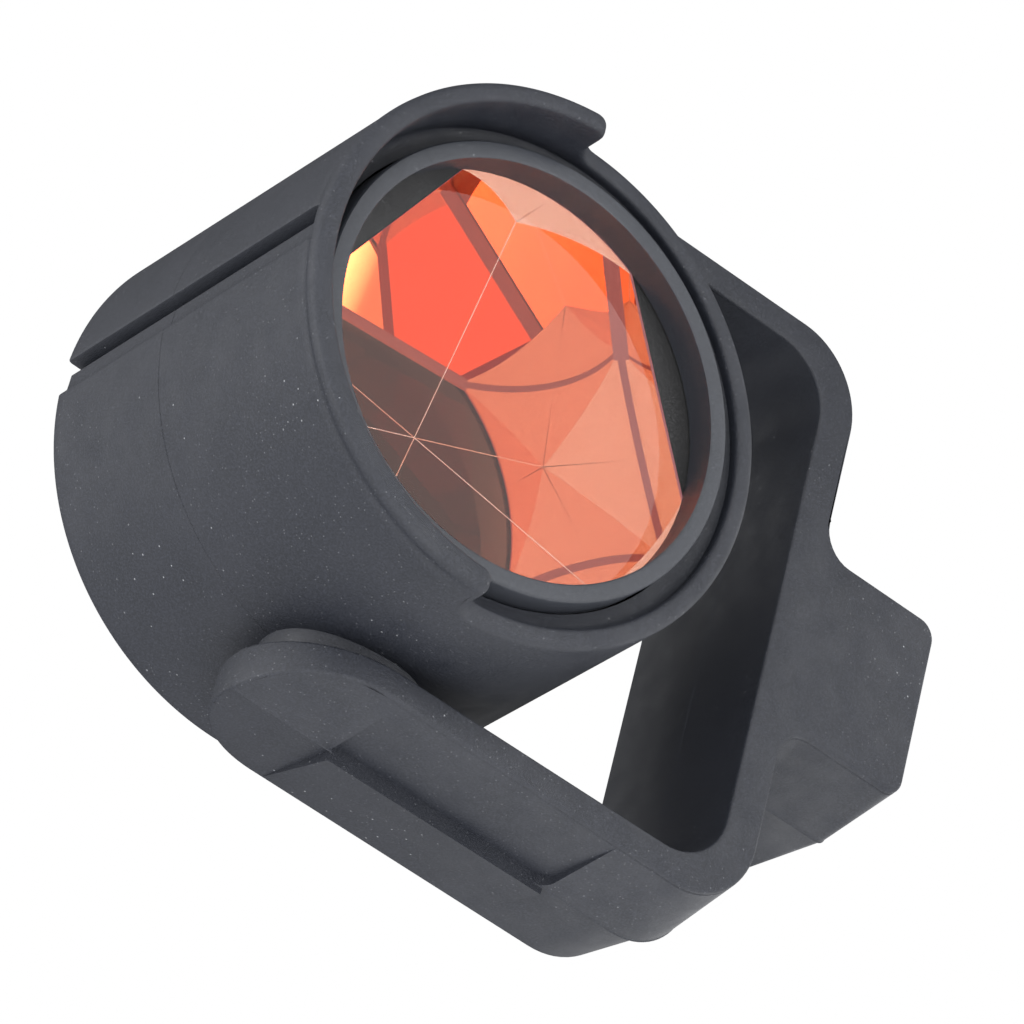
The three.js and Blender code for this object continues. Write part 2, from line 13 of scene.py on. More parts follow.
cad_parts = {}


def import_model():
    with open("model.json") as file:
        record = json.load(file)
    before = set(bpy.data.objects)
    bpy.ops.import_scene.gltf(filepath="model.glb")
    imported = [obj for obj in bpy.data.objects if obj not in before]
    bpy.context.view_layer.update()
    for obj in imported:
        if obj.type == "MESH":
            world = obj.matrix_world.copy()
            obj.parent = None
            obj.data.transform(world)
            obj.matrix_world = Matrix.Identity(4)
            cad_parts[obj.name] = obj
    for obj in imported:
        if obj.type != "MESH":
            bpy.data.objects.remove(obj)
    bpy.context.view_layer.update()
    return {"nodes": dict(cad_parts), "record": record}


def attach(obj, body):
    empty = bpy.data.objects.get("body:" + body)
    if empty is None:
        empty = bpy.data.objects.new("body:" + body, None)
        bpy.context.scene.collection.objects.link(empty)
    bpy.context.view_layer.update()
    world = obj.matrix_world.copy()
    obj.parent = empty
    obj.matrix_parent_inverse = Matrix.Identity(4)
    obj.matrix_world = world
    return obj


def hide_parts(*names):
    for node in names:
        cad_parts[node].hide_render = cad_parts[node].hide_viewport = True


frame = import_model()

MM = 0.001
TILT_AXIS_HEIGHT = 86.0
REST_TILT = math.radians(4.2)
FINE = 256                      # segments of the large circles

# ---- barrel and canister, in the prism's own frame: +Y is its axis, towards the back ----
BARREL_R = 39.3                 # at the tilt axis
BARREL_TAPER = 0.0105           # the barrel widens towards the back
BARREL_BORE = 36.0
HOOD_Y = -37.1
RIM_Y = -29.2
REAR_Y = 26.1
HOOD_ENDS = (1.0, 179.5)        # azimuths in degrees
HOOD_CORNER = 2.5
RIM_CORNER = 3.0
HOOD_POINTS = 66                # on each side of the sight groove
RIM_POINTS = 100
CORNER_REACH = 9.0              # arc length over which the hood's corners are opened out
OUTER_EDGE = 1.3
INNER_EDGE = 0.9
REAR_EDGE = 0.2
LIP = 0.24                      # height of the bead along the hood's edge
LIP_RISE = (50, 25)             # azimuth where the bead starts, and degrees to its full height
LIP_FALL = (178, 12)            # azimuth where it ends, and degrees it takes to sink
CORNER_POINTS = 9
SLEEVE_Y = -24.0                # behind this the rings of points run straight round
GLASS_R = 31.4
GLASS_Y = -24.6
APEX_DEPTH = 38.6
BLACK_END = 0.65                # blackened length of the glass's ground side
FLAT_EDGE = {60: 1.3, 180: 1.0, 300: 0.9}   # thickness of the glass at each flat
CANISTER_R = 33.0
CANISTER_BORE = 31.8
WASHER_R = 12.25
PAD_R = 11.6


# ------------------------------------------------------------------ mesh helpers
def tilted(points):
    """Points of the prism's frame, in the row frame."""
    p = np.asarray(points, float)
    c, s = math.cos(-REST_TILT), math.sin(-REST_TILT)
    out = p.copy()
    out[:, 1] = c * p[:, 1] - s * p[:, 2]
    out[:, 2] = s * p[:, 1] + c * p[:, 2] + TILT_AXIS_HEIGHT
    return out


def raised(points):
    """Points of the yoke's frame, whose origin is the tilt axis, in the row frame."""
    return np.asarray(points, float) + (0.0, 0.0, TILT_AXIS_HEIGHT)


def mesh_piece(name, points, faces, sharp=32.0):
    mesh = bpy.data.meshes.new(name)
    mesh.from_pydata([tuple(p) for p in np.asarray(points, float) * MM], [], faces)
    mesh.validate()
    obj = bpy.data.objects.new(name, mesh)
    bpy.context.scene.collection.objects.link(obj)
    finish_normals(obj, sharp)
    return obj


def finish_normals(obj, sharp):
    bm = bmesh.new()
    bm.from_mesh(obj.data)
    bmesh.ops.recalc_face_normals(bm, faces=bm.faces)
    bm.to_mesh(obj.data)
    bm.free()
    obj.data.shade_smooth()
    obj.data.set_sharp_from_angle(angle=math.radians(sharp))


def torus_grid(rows):
    """Faces of a grid of points that closes both ways: rows of equal length."""
    count = len(rows)
    width = len(rows[0])
    faces = []
    for r in range(count):
        n = (r + 1) % count
        for c in range(width):
            d = (c + 1) % width
            faces.append((r * width + c, r * width + d, n * width + d, n * width + c))
    return np.concatenate(rows), faces


def turned(profile, segments=FINE):
    """A ring turned about Y from a closed loop of (radius, y)."""
    angle = np.linspace(0, 2 * math.pi, segments, endpoint=False)
    rows = [np.stack([r * np.cos(angle), np.full(segments, y), r * np.sin(angle)], 1)
            for r, y in profile]
    return torus_grid(rows)


def turned_solid(profile, segments=FINE):
    """A solid turned about Y: the profile runs from the axis to the axis."""
    angle = np.linspace(0, 2 * math.pi, segments, endpoint=False)
    rows = [np.stack([r * np.cos(angle), np.full(segments, y), r * np.sin(angle)], 1)
            for r, y in profile if r > 0]
    points = np.concatenate(rows)
    faces = []
    for r in range(len(rows) - 1):
        for c in range(segments):
            d = (c + 1) % segments
            a, b = r * segments, (r + 1) * segments
            faces.append((a + c, a + d, b + d, b + c))
    faces.append(tuple(range(segments)))
    last = (len(rows) - 1) * segments
    faces.append(tuple(reversed(range(last, last + segments))))
    return points, faces


def arc(cx, cy, radius, start, end, steps):
    angles = np.radians(np.linspace(start, end, steps + 1))
    return [(cx + radius * math.cos(a), cy + radius * math.sin(a)) for a in angles]


def apply_modifiers(obj):
    graph = bpy.context.evaluated_depsgraph_get()
    mesh = bpy.data.meshes.new_from_object(obj.evaluated_get(graph))
    obj.modifiers.clear()
    old = obj.data
    obj.data = mesh
    bpy.data.meshes.remove(old)
    return obj


def boolean(obj, tool, operation="DIFFERENCE"):
    modifier = obj.modifiers.new("cut", "BOOLEAN")
    modifier.object = tool
    modifier.operation = operation
    modifier.solver = "EXACT"
    apply_modifiers(obj)
    mesh = tool.data
    bpy.data.objects.remove(tool)
    bpy.data.meshes.remove(mesh)
    return obj


def loft(name, outlines):
    """A closed solid through equal-length outlines of (x, z), one at each (y, outline)."""
    width = len(outlines[0][1])
    points = [(x, y, z) for y, outline in outlines for x, z in outline]
    faces = []
    for r in range(len(outlines) - 1):
        for c in range(width):
            d = (c + 1) % width
            a, b = r * width, (r + 1) * width
            faces.append((a + c, a + d, b + d, b + c))
    faces.append(tuple(reversed(range(width))))
    last = (len(outlines) - 1) * width
    faces.append(tuple(range(last, last + width)))
    return mesh_piece(name, raised(points), faces)


def prism_faces(width):
    """Faces between two equal loops of points, the second after the first, and both ends."""
    faces = [(c, (c + 1) % width, width + (c + 1) % width, width + c) for c in range(width)]
    return faces + [tuple(reversed(range(width))), tuple(range(width, 2 * width))]


def extruded(name, outline, axis, low, high):
    """A closed solid from an outline of two coordinates, extruded along the third axis."""
    def place(u, v, w):
        return {"x": (w, u, v), "z": (u, v, w)}[axis]
    points = [place(u, v, low) for u, v in outline] + [place(u, v, high) for u, v in outline]
    return mesh_piece(name, raised(points), prism_faces(len(outline)))


def block(name, low, high):
    (x0, y0, z0), (x1, y1, z1) = low, high
    return extruded(name, [(x0, y0), (x1, y0), (x1, y1), (x0, y1)], "z", z0, z1)


# ------------------------------------------------------------------ barrel
def hood_boundary():
    """Front edge of the barrel, as (arc length, y, inward normal): hood above, rim below."""
    right, left = (math.radians(a) * BARREL_R for a in HOOD_ENDS)
    turn = 2 * math.pi * BARREL_R
    rim, hood, rc, rv = RIM_Y, HOOD_Y, RIM_CORNER, HOOD_CORNER
    path = []

    def corner(s, y, radius, start, end, inward):
        """Points round a corner; inward is 1 or -1, the sense of their normals."""
        for a in np.radians(np.linspace(start, end, CORNER_POINTS)):
            c, d = math.cos(a), math.sin(a)
            path.append((s + radius * c, y + radius * d, inward * c, inward * d))

    corner(right - rc, rim - rc, rc, 90, 0, 1)
    for t in np.linspace(0, 1, 4)[1:-1]:
        path.append((right, (1 - t) * (rim - rc) + t * (hood + rv), 1.0, 0.0))
    corner(right + rv, hood + rv, rv, 180, 270, -1)
    for s in hood_columns(right + rv, left - rv):
        path.append((s, hood, 0.0, 1.0))
    corner(left - rv, hood + rv, rv, 270, 360, -1)
    for t in np.linspace(0, 1, 4)[1:-1]:
        path.append((left, (1 - t) * (hood + rv) + t * (rim - rc), -1.0, 0.0))
    corner(left + rc, rim - rc, rc, 180, 90, 1)
    first = left + rc
    last = turn + right - rc
    for s in np.linspace(first, last, RIM_POINTS)[1:-1]:
        path.append((s, rim, 0.0, 1.0))
    return np.array(path)


GROOVE = [  # x, depth below the barrel's surface
    (-3.9, 0.0), (-3.5, 0.0), (-3.2, 0.16), (-2.8, 0.55), (-2.4, 0.86), (-2.1, 0.98),
    (-1.2, 1.05), (-0.4, 1.08), (0.25, 1.08), (0.42, 1.1), (0.5, 1.25), (0.53, 2.3), (0.75, 2.45),
    (1.15, 2.45), (1.2, 2.3), (1.26, 2.3), (1.3, 2.45), (2.0, 2.45), (2.22, 2.3), (2.26, 0.35),
    (2.34, 0.1), (2.5, 0.0), (2.9, 0.0),
]


def hood_columns(start, end):
    """Arc lengths along the hood's edge, close together across the sight groove."""
    across = [math.acos(x / BARREL_R) * BARREL_R for x, _ in GROOVE][::-1]
    before = np.linspace(start, across[0], HOOD_POINTS)[1:-1]
    after = np.linspace(across[-1], end, HOOD_POINTS)[1:-1]
    return list(before) + across + list(after)


def groove_depth(s):
    x = BARREL_R * np.cos(s / BARREL_R)
    up = np.sin(s / BARREL_R) > 0
    xs = np.array([x for x, _ in GROOVE])
    ds = np.array([d for _, d in GROOVE])
    depth = np.interp(x, xs, ds)
    return np.where(up & (x > xs[0]) & (x < xs[-1]), depth, 0.0)


def spread(path):
    """Arc lengths of the columns away from the edge: the hood's corners are opened out."""
    s = path[:, 0].copy()
    steps = np.hypot(np.diff(s), np.diff(path[:, 1]))
    length = np.concatenate([[0], np.cumsum(steps)])
    for azimuth in HOOD_ENDS:
        corner = math.radians(azimuth) * BARREL_R
        near = np.nonzero(np.abs(s - corner) < CORNER_REACH)[0]
        low, high = near[0], near[-1]
        share = (length[low:high + 1] - length[low]) / (length[high] - length[low])
        s[low:high + 1] = path[low, 0] + (path[high, 0] - path[low, 0]) * share
    return s


def barrel_mesh():
    path = hood_boundary()
    s_edge, y_edge, ns, ny = path.T
    s_wide = spread(path)
    on_hood = y_edge < HOOD_Y + 0.01
    azimuth = np.degrees(s_edge / BARREL_R)
    rise = np.clip((azimuth - LIP_RISE[0]) / LIP_RISE[1], 0, 1)
    fall = np.clip((LIP_FALL[0] - azimuth) / LIP_FALL[1], 0, 1)
    fade = rise * fall
    lip = np.where(on_hood, fade, 0.0) * LIP
    everywhere = np.ones(len(path))
    rows = []

    def row(s, y, height, grooved):
        """One ring of points, at a height above the tapered outside of the barrel."""
        y = y * everywhere
        radius = BARREL_R + BARREL_TAPER * y + height - groove_depth(s) * grooved
        rows.append(np.stack([radius * np.cos(s / BARREL_R), y, radius * np.sin(s / BARREL_R)], 1))

    def bore(s, y, radius):
        y = y * everywhere
        rows.append(np.stack([radius * np.cos(s / BARREL_R), y, radius * np.sin(s / BARREL_R)], 1))

    for a in np.radians(np.linspace(0, 90, 5)):
        back = INNER_EDGE * (1 - math.sin(a))
        bore(s_edge + ns * back, y_edge + ny * back, BARREL_BORE + INNER_EDGE * (1 - math.cos(a)))
    for a in np.radians(np.linspace(0, 90, 8)):
        back = OUTER_EDGE * (1 - math.cos(a))
        row(s_edge + ns * back, y_edge + ny * back,
            lip * math.sin(a) - OUTER_EDGE * (1 - math.sin(a)), 0.0)
    s0, y0 = s_edge + ns * OUTER_EDGE, y_edge + ny * OUTER_EDGE
    for t in (0.03, 0.06, 0.08, 0.1, 0.12, 0.15, 0.18, 0.22, 0.28, 0.38, 0.5, 0.65, 0.82, 1.0):
        s = s0 + (s_wide - s0) * t
        y = y0 + (SLEEVE_Y - y0) * t
        behind = y - HOOD_Y - OUTER_EDGE
        height = np.interp(behind, [0, 0.7, 1.1, 1.7, 2.6], [1.0, 0.95, 0.0, -0.7, 0.0]) * lip
        row(s, y, height, float(t > 0.09))
    for y, height in ((-18, 0), (-12, 0), (-6, 0), (-1, 0), (-0.1, 0), (0.0, -0.12), (0.1, -0.12),
                      (0.2, 0), (1.2, 0), (7, 0), (13, 0), (19, 0), (REAR_Y - 1.5, 0),
                      (REAR_Y - REAR_EDGE, 0)):
        row(s_wide, y, height, 1.0)
    for a in np.radians([30, 60, 90]):
        row(s_wide, REAR_Y - REAR_EDGE * (1 - math.sin(a)), -REAR_EDGE * (1 - math.cos(a)), 1.0)
    bore(s_wide, REAR_Y, BARREL_BORE + 0.4)
    bore(s_wide, REAR_Y - 0.4, BARREL_BORE)
    for y in (18.0, 6.0, -8.0, -20.0):
        bore(s_wide, y, BARREL_BORE)
    for t in (0.7, 0.4, 0.15):
        s = (s_edge + ns * INNER_EDGE) * (1 - t) + s_wide * t
        y = (y_edge + ny * INNER_EDGE) * (1 - t) + SLEEVE_Y * t
        bore(s, y, BARREL_BORE)
    return torus_grid(rows)


def joined(name, parts, sharp=32.0):
    points = []
    faces = []
    for p, f in parts:
        offset = sum(len(q) for q in points)
        points.append(np.asarray(p))
        faces.extend(tuple(i + offset for i in face) for face in f)
    return mesh_piece(name, np.concatenate(points), faces, sharp)


def sideways(points, side):
    """Points turned about Y, laid along the tilt axis on one side."""
    spun = points.copy()
    spun[:, 0], spun[:, 1] = side * points[:, 1], points[:, 0]
    return spun


def trunnion_pad(side):
    """The barrel's round boss behind the washer, with a small edge radius."""
    profile = [(0, 34.0), (PAD_R, 34.0), (PAD_R, 40.5), (PAD_R - 0.15, 40.75),
               (PAD_R - 0.4, 40.85), (0, 40.85)]
    points, faces = turned_solid(profile, 96)
    return sideways(points, side), faces


def friction_washer(side):
    profile = [(4.6, 41.2), (WASHER_R - 0.25, 41.2), (WASHER_R - 0.05, 41.3), (WASHER_R, 41.6),
               (WASHER_R - 0.05, 41.9), (WASHER_R - 0.25, 42.0), (4.6, 42.0)]
    points, faces = turned(profile, 96)
    name = "washer_left" if side < 0 else "washer_right"
    return mesh_piece(name, tilted(sideways(points, side)), faces)


def holder_barrel():
    web = turned([(33.4, 6.5), (BARREL_BORE + 1, 6.5), (BARREL_BORE + 1, 9.0), (33.4, 9.0)])
    ledge = turned([(33.3, -26.6), (34.9, -26.7), (35.7, -27.0), (36.2, -27.6), (36.4, -28.0),
                    (36.6, -26.0), (33.3, -26.0)])
    parts = [barrel_mesh(), web, ledge, trunnion_pad(-1), trunnion_pad(1)]
    parts = [(tilted(p), f) for p, f in parts]
    return joined("barrel_shell", parts, 40)


# ------------------------------------------------------------------ canister
def front_ring():
    profile = [
        (30.4, -30.45), (30.55, -30.62), (30.8, -30.7), (32.3, -30.7), (32.7, -30.62),
        (32.92, -30.4), (CANISTER_R, -30.1), (CANISTER_R, -26.2), (31.5, -26.2),
        (31.5, -24.75), (31.2, -24.75), (30.95, -25.0), (30.93, -27.0),
    ]
    points, faces = turned(profile)
    return mesh_piece("canister_ring", tilted(points), faces)


def canister_body():
    profile = [
        (CANISTER_BORE, -25.9), (CANISTER_R, -25.9), (CANISTER_R, 10.6), (35.9, 10.6),
        (35.9, 13.4), (CANISTER_R, 13.4), (CANISTER_R, 19.0), (26.0, 19.0), (26.0, 12.0),
        (CANISTER_BORE, 9.0),
    ]
    points, faces = turned(profile)
    return mesh_piece("canister_shell", tilted(points), faces)


def glass_seats():
    """Ledges beside the flats of the glass, level with its front face."""
    return joined("glass_seats", [(tilted(p), f) for p, f in map(glass_seat, FLAT_EDGE)])


def glass_seat(azimuth):
    outer = 31.45
    chord = (APEX_DEPTH - FLAT_EDGE[azimuth]) / math.sqrt(2) + 0.12
    half = math.degrees(math.acos(chord / outer))
    loop = arc(0, 0, outer, azimuth - half, azimuth + half, 24)
    points = [(x, y, z) for y in (GLASS_Y + 0.1, GLASS_Y + 1.4) for x, z in loop]
    return np.array(points), prism_faces(len(loop))


# material slots of the glass, in the order its materials are given
FACE_FRONT, FACE_COATED, FACE_GROUND, FACE_CHAMFER, FACE_BLACK = range(5)


def corner_cube():
    """Glass of the corner cube. Blackened are the front end of its ground side and the wall
    at each flat."""
    apex = GLASS_Y + APEX_DEPTH
    slope = math.sqrt(2)
    flat = APEX_DEPTH / slope
    chamfer = 0.055
    points = []
    faces = []
    slots = []

    def add(p):
        points.append(p)
        return len(points) - 1

    front_loop = []
    rear_loops = []
    for k in FLAT_EDGE:
        # from the edge before the flat to the edge after it
        half = math.degrees(math.acos((flat - FLAT_EDGE[k] / slope) / GLASS_R))
        before = np.linspace(k - 60, k - half, 20)
        after = np.linspace(k + half, k + 60, 20)
        front = []
        middle = []
        rear = []
        for az in list(before) + list(after):
            a = math.radians(az)
            x, z = GLASS_R * math.cos(a), GLASS_R * math.sin(a)
            y = apex - slope * GLASS_R * math.cos(math.radians(az - k))
            i = add((x, GLASS_Y, z))
            front.append(i)
            rear.append(i if abs(y - GLASS_Y) < 1e-6 else add((x, y, z)))
            reach = GLASS_Y + BLACK_END
            middle.append(rear[-1] if y <= reach else add((x, reach, z)))
        # the ends move off the cube's edge by the chamfer
        for idx, az in ((rear[0], k - 60), (rear[-1], k + 60)):
            a = math.radians(az)
            toward = math.radians(az + (90 if az < k else -90))
            px, _, pz = points[idx]
            px += chamfer * math.cos(toward)
            pz += chamfer * math.sin(toward)
            points[idx] = (px, apex - slope * (px * math.cos(math.radians(k))
                                               + pz * math.sin(math.radians(k))), pz)
        a = math.radians(k)
        tip = add((chamfer * math.cos(a), apex - slope * chamfer, chamfer * math.sin(a)))
        faces.append(tuple(rear) + (tip,))
        slots.append(FACE_COATED)
        for i in range(len(front) - 1):
            if i == len(before) - 1:
                faces.append((front[i], front[i + 1], rear[i + 1], rear[i]))
                slots.append(FACE_BLACK)
                continue
            for near, far, slot in ((front, middle, FACE_BLACK), (middle, rear, FACE_GROUND)):
                corners = tuple(dict.fromkeys((near[i], near[i + 1], far[i + 1], far[i])))
                if len(corners) > 2:
                    faces.append(corners)
                    slots.append(slot)
        front_loop.append(front)
        rear_loops.append((rear, tip))
    faces.append(tuple(i for loop in front_loop for i in loop))
    slots.append(FACE_FRONT)
    for n in range(3):
        (rear_a, tip_a), (rear_b, tip_b) = rear_loops[n], rear_loops[(n + 1) % 3]
        faces.append((rear_a[-1], rear_b[0], tip_b, tip_a))
        slots.append(FACE_CHAMFER)
    faces.append(tuple(tip for _, tip in rear_loops))
    slots.append(FACE_CHAMFER)
    return points, faces, slots


def prism_glass():
    points, faces, slots = corner_cube()
    mesh = bpy.data.meshes.new("corner_cube")
    mesh.from_pydata([tuple(p) for p in tilted(points) * MM], [], faces)
    for polygon, slot in zip(mesh.polygons, slots):
        polygon.material_index = slot
    obj = bpy.data.objects.new("corner_cube", mesh)
    bpy.context.scene.collection.objects.link(obj)
    bm = bmesh.new()
    bm.from_mesh(mesh)
    bmesh.ops.remove_doubles(bm, verts=bm.verts, dist=1e-7)
    bmesh.ops.recalc_face_normals(bm, faces=bm.faces)
    for face in bm.faces:
        face.smooth = face.material_index in (FACE_GROUND, FACE_BLACK)
    bm.to_mesh(mesh)
    bm.free()
    mesh.set_sharp_from_angle(angle=math.radians(20))
    return obj


# ------------------------------------------------------------------ yoke
YOKE_DEPTH = 15.4
FRONT = dict(outer=46.9, draft=0.6, inner=42.5, top=-57.15, bottom=-63.05, base=14.45,
             seat=-85.25, r_out=11.9, r_base=5.0, r_foot=2.8)
MIDDLE = dict(outer=49.15, draft=0.6, inner=42.2, top=-56.8, bottom=-64.7, base=17.5, seat=-85.5,
              r_out=11.5, r_base=5.0, r_foot=1.6)
MIDDLE_BACK = dict(outer=49.0, draft=0.6, inner=42.2, top=-56.8, bottom=-64.75, base=17.3,
                   seat=-85.5, r_out=13.4, r_base=5.0, r_foot=1.4)
BACK = dict(outer=48.3, draft=0.5, inner=42.6, top=-57.3, bottom=-64.6, base=17.0, seat=-85.3,
            r_out=13.8, r_base=5.5, r_foot=1.2)
INNER_CORNER = 9.3
ARM_TOP = 18.0
PANEL_Z = (-40.8, -1.8)
PANEL_FLOOR = 46.9              # x of the recessed floor at the front plane
PANEL_SLOPE = 0.045
PANEL_OUTSIDE = 53.0            # x beyond the yoke
BELOW = -95.0                   # z below the yoke
SLEEVE_R = 8.3
SCREW_OFFSET = 9.6
SCREW_HOLE_R = 1.4
SOCKET_R = 6.3
EDGE_RADIUS = 0.45


def between(a, b, t):
    return {key: a[key] * (1 - t) + b[key] * t for key in a}


def half_outline(size, grow, grow_inside, faded_above):
    """Half of the yoke's outline, grown outwards below a height, and into the arms' window."""
    outer, bottom = size["outer"] + grow, size["bottom"] - grow
    base, seat = size["base"] + grow, size["seat"] - grow
    inner, top = size["inner"] - grow_inside, size["top"] + grow_inside
    r_in, r_out, r_base, r_foot = INNER_CORNER, size["r_out"], size["r_base"], size["r_foot"]
    corner = bottom + r_out
    side = []
    for z in (ARM_TOP, 14.0, 12.5, 0.5, -1.0):
        kept = grow if z <= faded_above else 0.0
        side.append((size["outer"] + kept - size["draft"] * (z - corner) / (ARM_TOP - corner), z))
    return (
        [(0.0, top)]
        + arc(inner - r_in, top + r_in, r_in, -90, 0, 14)
        + [(inner, ARM_TOP)]
        + side
        + arc(outer - r_out, corner, r_out, 0, -90, 18)
        + arc(base + r_base, bottom - r_base, r_base, 90, 180, 8)
        + arc(base - r_foot, seat + r_foot, r_foot, 0, -90, 8)
    )


def outline(size, grow=0.0, grow_inside=0.0, faded_above=ARM_TOP):
    right = half_outline(size, grow, grow_inside, faded_above)
    left = [(-x, z) for x, z in right[1:]][::-1]
    return right + left


def side_tool():
    top = arc(0, 0, YOKE_DEPTH, 0, 180, 64)
    return extruded("side", [(YOKE_DEPTH, BELOW)] + top + [(-YOKE_DEPTH, BELOW)], "x", -60, 60)


def panel_recess(side):
    """What the front half of an arm's panel loses: its floor falls away to the parting plane."""
    low, high = PANEL_Z
    foot, head = 2.0, 0.9
    loop = [(-YOKE_DEPTH - 1.0, low), (-foot, low)]
    loop += arc(-foot, low + foot, foot, -90, 0, 8)[1:]
    loop += arc(-head, high - head, head, 0, 90, 6)
    loop += [(-YOKE_DEPTH - 1.0, high)]
    floor = [(side * (PANEL_FLOOR + (y + YOKE_DEPTH) * PANEL_SLOPE), y, z) for y, z in loop]
    points = floor + [(side * PANEL_OUTSIDE, y, z) for y, z in loop]
    return mesh_piece("recess", raised(points), prism_faces(len(loop)))


def panel_rise(side):
    """The rear half of the panel stands proud at the parting plane and ends flush behind."""
    wedge = [(46.5, -0.001), (50.1, -0.001), (48.0, 15.0), (46.0, 15.0)]
    low, high = PANEL_Z
    return extruded("rise", [(side * x, y) for x, y in wedge], "z", low + 0.3, high - 0.2)


def edge_weights(obj, width):
    """Rounds the outer edges of the yoke, and leaves its parting line and panels crisp."""
    bm = bmesh.new()
    bm.from_mesh(obj.data)
    bmesh.ops.remove_doubles(bm, verts=bm.verts, dist=1e-6)
    layer = bm.edges.layers.float.new("bevel_weight_edge")
    depth = (YOKE_DEPTH - 0.05) * MM
    axis_z = TILT_AXIS_HEIGHT * MM

    def on_rim(p):
        if p.z < axis_z:
            return abs(p.y) > depth
        return math.hypot(p.y, p.z - axis_z) > depth

    for edge in bm.edges:
        if len(edge.link_faces) == 2 and edge.calc_face_angle(0) > math.radians(34):
            if all(on_rim(v.co) for v in edge.verts):
                edge[layer] = 1.0
    bm.to_mesh(obj.data)
    bm.free()
    bevel = obj.modifiers.new("edges", "BEVEL")
    bevel.limit_method = "WEIGHT"
    bevel.width = width * MM
    bevel.segments = 4
    bevel.use_clamp_overlap = False
    apply_modifiers(obj)


def bar(name, axis, radius, low, high, centre=(0.0, 0.0), steps=64):
    loop = arc(centre[0], centre[1], radius, 0, 360, steps)[:-1]
    return extruded(name, loop, axis, low, high)


def base_openings():
    """Bore of the sleeve, seat of the cover plate, its screw holes, and room for the latch."""
    tools = [
        bar("bore", "z", SLEEVE_R, BELOW, -62.2),
        block("pocket", (-12.8, -12.8, BELOW), (12.8, 12.8, -84.3)),
        block("cavity", (-11.1, -14.1, -79.8), (11.1, 12.8, -76.2)),
        block("mouth", (-7.3, 8.9, -81.8), (7.3, 18.0, -74.2)),
    ]
    for x in (-SCREW_OFFSET, SCREW_OFFSET):
        for y in (-SCREW_OFFSET, SCREW_OFFSET):
            tools.append(bar("screw", "z", SCREW_HOLE_R, BELOW, -80.55, (x, y), 24))
    for side in (-1, 1):
        low, high = sorted((side * 40.0, side * 46.9))
        tools.append(bar("socket", "x", SOCKET_R, low, high, steps=48))
    return tools


def yoke():
    def front(y, grow=0.0, inside=0.0):
        return y, outline(between(MIDDLE, FRONT, -y / YOKE_DEPTH), grow, inside, 0.0)

    def back(y, inside=0.0):
        return y, outline(between(MIDDLE_BACK, BACK, y / YOKE_DEPTH), 0.0, inside)

    obj = loft("yoke_body", [
        front(-YOKE_DEPTH), front(-14.75), front(-14.65, -0.12), front(-14.5, -0.12), front(-14.35),
        front(-1.05), front(-0.95, 0.0, 0.1), front(-0.12, 0.0, 0.1),
        (0.0, outline(MIDDLE, 0.08, 0.1, 12.6)),
        back(0.1, 0.1), back(0.95, 0.1), back(1.05), back(YOKE_DEPTH),
    ])
    boolean(obj, side_tool(), "INTERSECT")
    edge_weights(obj, EDGE_RADIUS)
    for side in (-1, 1):
        boolean(obj, panel_recess(side))
        boolean(obj, panel_rise(side), "UNION")
    for tool in base_openings():
        boolean(obj, tool)
    finish_normals(obj, 30)
    return obj


# ------------------------------------------------------------------ materials
def new_material(name):
    material = bpy.data.materials.new(name)
    material.use_nodes = True
    tree = material.node_tree
    shader = tree.nodes["Principled BSDF"]
    return material, tree, shader


def link(tree, a, b):
    tree.links.new(a, b)


def noise(tree, coords, scale, detail=2.0):
    node = tree.nodes.new("ShaderNodeTexNoise")
    node.inputs["Scale"].default_value = scale
    node.inputs["Detail"].default_value = detail
    link(tree, coords, node.inputs["Vector"])
    return node.outputs["Fac"]


def ramp(tree, fac, stops):
    node = tree.nodes.new("ShaderNodeValToRGB")
    elements = node.color_ramp.elements
    while len(elements) < len(stops):
        elements.new(0.5)
    for element, (position, value) in zip(elements, stops):
        element.position = position
        colour = value if isinstance(value, tuple) else (value, value, value)
        element.color = (*colour, 1.0)
    link(tree, fac, node.inputs["Fac"])
    return node.outputs["Color"]


def mixed(tree, fac, a, b):
    node = tree.nodes.new("ShaderNodeMix")
    node.data_type = "RGBA"
    for value, socket in ((fac, node.inputs[0]), (a, node.inputs[6]), (b, node.inputs[7])):
        if hasattr(value, "is_output"):
            link(tree, value, socket)
        elif isinstance(value, tuple):
            socket.default_value = (*value, 1.0)
        else:
            socket.default_value = value
    return node.outputs[2]


def bump(tree, height, strength, distance, shader):
    node = tree.nodes.new("ShaderNodeBump")
    node.inputs["Strength"].default_value = strength
    node.inputs["Distance"].default_value = distance
    link(tree, height, node.inputs["Height"])
    link(tree, node.outputs["Normal"], shader.inputs["Normal"])


def combined(tree, operation, a, b):
    node = tree.nodes.new("ShaderNodeMath")
    node.operation = operation
    for value, socket in ((a, node.inputs[0]), (b, node.inputs[1])):
        if hasattr(value, "is_output"):
            link(tree, value, socket)
        else:
            socket.default_value = value
    return node.outputs[0]


def specks(tree, coords, scale, size, patches, strength):
    """Scattered dust: spots of one size, kept only inside patches of a coarser noise."""
    cells = tree.nodes.new("ShaderNodeTexVoronoi")
    cells.inputs["Scale"].default_value = scale
    link(tree, coords, cells.inputs["Vector"])
    spot = ramp(tree, cells.outputs["Distance"], [(size[0], strength), (size[1], 0.0)])
    coarse, low, high = patches
    patch = ramp(tree, noise(tree, coords, coarse, 2), [(low, 0.0), (high, 1.0)])
    return combined(tree, "MULTIPLY", spot, patch)


